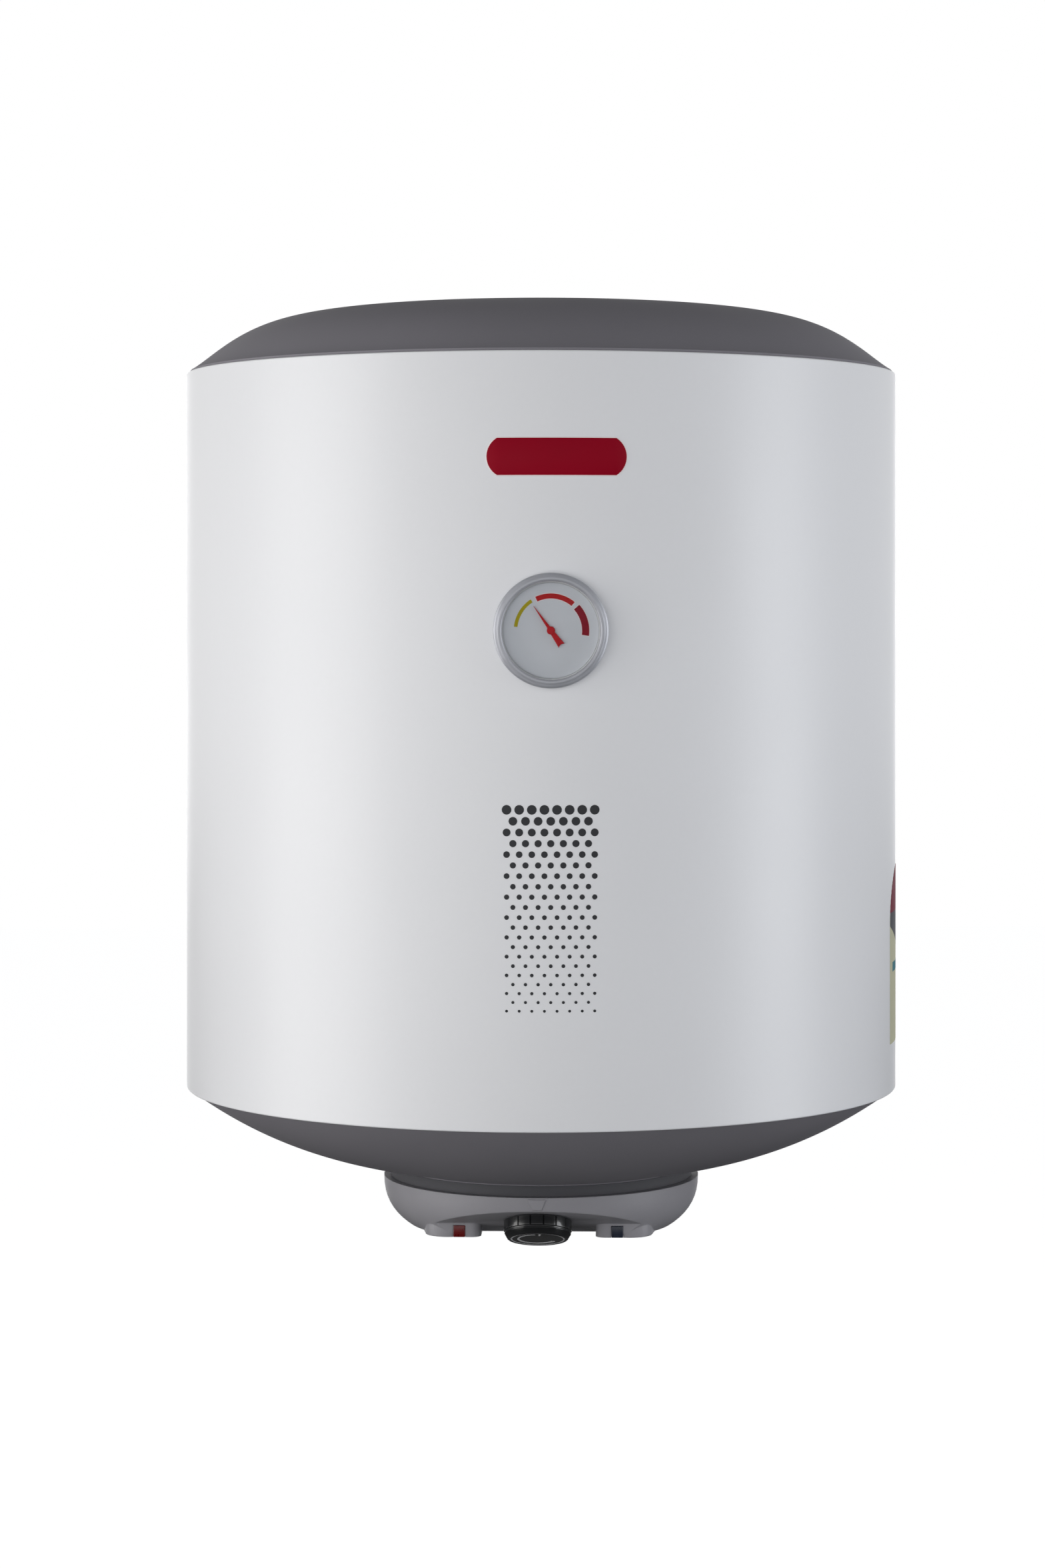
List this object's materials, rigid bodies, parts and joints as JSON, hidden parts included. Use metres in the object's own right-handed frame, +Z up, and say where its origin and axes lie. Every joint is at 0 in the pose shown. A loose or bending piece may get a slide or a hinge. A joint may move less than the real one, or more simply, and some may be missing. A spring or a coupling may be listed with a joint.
{
  "type": "tank water heater",
  "caption": "Wall-hung upright electric water heater: white steel jacket, grey domed caps, dial thermometer and a round service cover below with a thermostat knob and two lamps.",
  "frame": {"origin": "midway between the wall bracket's two bolt holes, on the plane of the wall", "axes": "+Z up along the heater's axis, +Y into the wall, -Y towards the front with the thermometer, +X to the right as seen from the front"},
  "size_m": [0.3804, 0.4, 0.4969],
  "materials": {
    "jacket_enamel": "satin",
    "cap_plastic": "satin",
    "cover_plastic": "satin",
    "seal_rubber": "matt",
    "zinc_steel": "satin",
    "knob_plastic": "satin",
    "spindle_steel": "satin",
    "switch_plastic": "matt",
    "copper_tube": "satin",
    "lens_red": "gloss",
    "lens_blue": "gloss",
    "lamp_glass": "clear",
    "bezel_plastic": "satin",
    "gauge_glass": "clear",
    "dial_paint": "matt",
    "needle_paint": "satin",
    "gauge_case_plastic": "matt",
    "brass_parts": "satin",
    "badge_plastic": "gloss",
    "sticker_film": "satin",
    "foam": "matt",
    "tank_enamel": "gloss",
    "gasket_rubber": "matt",
    "flange_steel": "satin",
    "element_sheath": "matt",
    "stainless_tube": "satin",
    "magnesium": "matt",
    "pipe_steel": "satin",
    "tube_plastic": "matt",
    "collar_blue": "satin",
    "collar_red": "satin",
    "button_red": "satin",
    "block_plastic": "matt",
    "wire_brown": "satin",
    "wire_blue": "satin",
    "wire_green_yellow": "satin",
    "black_nylon": "satin",
    "bracket_steel": "satin",
    "bumper_rubber": "matt"
  },
  "bodies": {
    "heater": {"jacket": "jacket_enamel", "top_cap": "cap_plastic", "bottom_cap": "cap_plastic", "service_cover": "cover_plastic", "cover_seal": "seal_rubber", "cover_screws": "zinc_steel", "thermostat_body": "switch_plastic", "thermostat_screws": "zinc_steel", "thermostat_capillary": "copper_tube", "red_lens": "lens_red", "blue_lens": "lens_blue", "heating_lamp": "lamp_glass", "power_lamp": "lamp_glass", "gauge_bezel": "bezel_plastic", "gauge_lens": "gauge_glass", "gauge_dial": "dial_paint", "gauge_case": "gauge_case_plastic", "gauge_movement": "brass_parts", "gauge_capillary": "copper_tube", "badge": "badge_plastic", "side_sticker": "sticker_film", "insulation": "foam", "tank_shell": "tank_enamel", "flange_ring": "tank_enamel", "flange_gasket": "gasket_rubber", "flange_plate": "flange_steel", "flange_bolts": "zinc_steel", "heating_element": "element_sheath", "element_terminals": "brass_parts", "thermowell": "stainless_tube", "anode_rod": "magnesium", "anode_nut": "zinc_steel", "cold_inlet_pipe": "pipe_steel", "inlet_diffuser": "tube_plastic", "hot_outlet_pipe": "pipe_steel", "hot_dip_tube": "tube_plastic", "blue_collar": "collar_blue", "red_collar": "collar_red", "thermal_cutout": "switch_plastic", "terminal_block": "block_plastic", "terminal_screws": "brass_parts", "earth_stud": "brass_parts", "live_wires": "wire_brown", "neutral_wire": "wire_blue", "earth_wire": "wire_green_yellow", "cable_gland": "black_nylon", "gland_nut": "black_nylon", "wall_bracket": "bracket_steel", "wall_bumpers": "bumper_rubber"},
    "knob": {"control_knob": "knob_plastic", "thermostat_spindle": "spindle_steel"},
    "needle": {"gauge_needle": "needle_paint", "gauge_spindle": "spindle_steel"},
    "reset_button": {"reset_button": "button_red"}
  },
  "joints": [
    {"name": "knob_turn", "type": "hinge", "parent": "heater", "child": "knob", "pos_m": [-0.00329, -0.26702, -0.36374], "axis": [-0.019, -0.3741, -0.9272], "range_deg": [0, 270]},
    {"name": "needle_swing", "type": "hinge", "parent": "heater", "child": "needle", "pos_m": [0, -0.392, -0.0562], "axis": [0, 1, 0], "range_deg": [-50, 133]},
    {"name": "reset_button_press", "type": "slide", "parent": "heater", "child": "reset_button", "axis": [0, 0, 1], "range_m": [0, 0.0015], "stiffness_N_per_m": 400}
  ]
}
